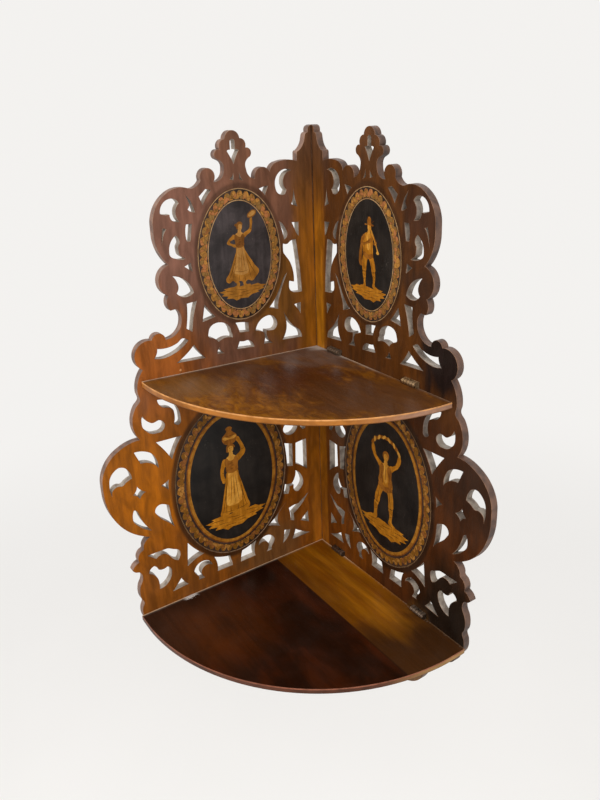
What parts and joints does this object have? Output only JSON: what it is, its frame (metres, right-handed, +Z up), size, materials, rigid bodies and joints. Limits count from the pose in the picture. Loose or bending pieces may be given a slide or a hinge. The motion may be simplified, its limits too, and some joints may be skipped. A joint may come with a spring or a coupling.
{
  "type": "corner wall shelf",
  "caption": "Folding corner wall shelf: pierced walnut panels meeting at a right angle, quarter-round shelves that hinge up, and oval inlaid medallions.",
  "frame": {"origin": "on the right panel's back face, on its corner stile 15 mm from the outer corner, level with the upper shelf's top", "axes": "+Z up, +X along the right panel away from the corner, +Y out of the right panel's back into the wall"},
  "size_m": [0.2209, 0.2209, 0.5568],
  "materials": {
    "walnut_panel": "aged varnish",
    "walnut_shelf": "aged varnish, worn",
    "ebony": "polished",
    "light_wood": "polished",
    "figure_wood": "polished",
    "brass": "dull"
  },
  "bodies": {
    "right_panel": {"corner_foot_hinge_pin": "brass", "corner_foot_hinge_right_leaf": "brass", "corner_foot_hinge_right_leaf_screw_1": "brass", "corner_foot_hinge_right_leaf_screw_2": "brass", "corner_top_hinge_pin": "brass", "corner_top_hinge_right_leaf": "brass", "corner_top_hinge_right_leaf_screw_1": "brass", "corner_top_hinge_right_leaf_screw_2": "brass", "lower_inner_hinge_fixed_leaf": "brass", "lower_inner_hinge_fixed_leaf_screw_1": "brass", "lower_inner_hinge_fixed_leaf_screw_2": "brass", "lower_inner_hinge_pin": "brass", "lower_outer_hinge_fixed_leaf": "brass", "lower_outer_hinge_fixed_leaf_screw_1": "brass", "lower_outer_hinge_fixed_leaf_screw_2": "brass", "lower_outer_hinge_pin": "brass", "right_fret_panel": "walnut_panel", "right_lower_oval_band": "light_wood", "right_lower_oval_figure": "figure_wood", "right_lower_oval_ground": "ebony", "right_upper_oval_band": "light_wood", "right_upper_oval_figure": "figure_wood", "right_upper_oval_ground": "ebony", "upper_inner_hinge_fixed_leaf": "brass", "upper_inner_hinge_fixed_leaf_screw_1": "brass", "upper_inner_hinge_fixed_leaf_screw_2": "brass", "upper_inner_hinge_pin": "brass", "upper_outer_hinge_fixed_leaf": "brass", "upper_outer_hinge_fixed_leaf_screw_1": "brass", "upper_outer_hinge_fixed_leaf_screw_2": "brass", "upper_outer_hinge_pin": "brass"},
    "left_panel": {"corner_foot_hinge_left_leaf": "brass", "corner_foot_hinge_left_leaf_screw_1": "brass", "corner_foot_hinge_left_leaf_screw_2": "brass", "corner_top_hinge_left_leaf": "brass", "corner_top_hinge_left_leaf_screw_1": "brass", "corner_top_hinge_left_leaf_screw_2": "brass", "left_fret_panel": "walnut_panel", "left_lower_oval_band": "light_wood", "left_lower_oval_figure": "figure_wood", "left_lower_oval_ground": "ebony", "left_upper_oval_band": "light_wood", "left_upper_oval_figure": "figure_wood", "left_upper_oval_ground": "ebony", "lower_rest_pin": "brass", "upper_rest_pin": "brass"},
    "upper_shelf": {"upper_inner_hinge_moving_leaf": "brass", "upper_inner_hinge_moving_leaf_screw_1": "brass", "upper_inner_hinge_moving_leaf_screw_2": "brass", "upper_outer_hinge_moving_leaf": "brass", "upper_outer_hinge_moving_leaf_screw_1": "brass", "upper_outer_hinge_moving_leaf_screw_2": "brass", "upper_shelf": "walnut_shelf"},
    "lower_shelf": {"lower_inner_hinge_moving_leaf": "brass", "lower_inner_hinge_moving_leaf_screw_1": "brass", "lower_inner_hinge_moving_leaf_screw_2": "brass", "lower_outer_hinge_moving_leaf": "brass", "lower_outer_hinge_moving_leaf_screw_1": "brass", "lower_outer_hinge_moving_leaf_screw_2": "brass", "lower_shelf": "walnut_shelf"}
  },
  "joints": [
    {"name": "left_panel_fold", "type": "hinge", "parent": "right_panel", "child": "left_panel", "pos_m": [-0.0125, -0.0025, 0], "axis": [0, 0, -1], "range_deg": [0, 88]},
    {"name": "upper_shelf_fold", "type": "hinge", "parent": "right_panel", "child": "upper_shelf", "pos_m": [0, -0.00885, 0.00245], "axis": [-1, 0, 0], "range_deg": [0, 87.6]},
    {"name": "lower_shelf_fold", "type": "hinge", "parent": "right_panel", "child": "lower_shelf", "pos_m": [0, -0.00885, -0.20755], "axis": [-1, 0, 0], "range_deg": [0, 90]}
  ]
}
